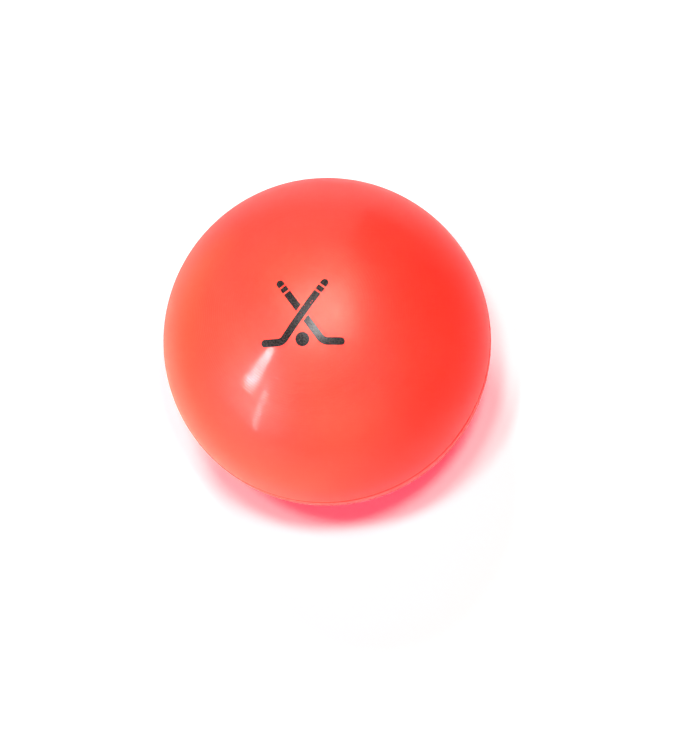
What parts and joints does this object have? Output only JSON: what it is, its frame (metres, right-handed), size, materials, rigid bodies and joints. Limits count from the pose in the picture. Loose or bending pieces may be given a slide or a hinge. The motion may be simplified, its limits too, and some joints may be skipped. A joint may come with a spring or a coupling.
{
  "type": "street hockey ball",
  "caption": "Hollow plastic street hockey ball made of welded half shells, with a turned finish, a seam round the equator and a printed mark on one pole.",
  "frame": {"origin": "centre of the ball", "axes": "+Z through the poles, towards the printed one, with the seam in the XY plane; +Y is up as the mark is read, +X to its right"},
  "size_m": [0.072, 0.072, 0.072],
  "materials": {
    "shell": "fluorescent orange-red PVC with a satin turned finish, slightly translucent",
    "weld": "the same plastic, melted and trimmed smooth",
    "ink": "thin black printing ink, satin, a little worn"
  },
  "bodies": {
    "root": {"upper_half_shell": "shell", "lower_half_shell": "shell", "weld_ring": "weld", "printed_mark": "ink"}
  },
  "joints": []
}
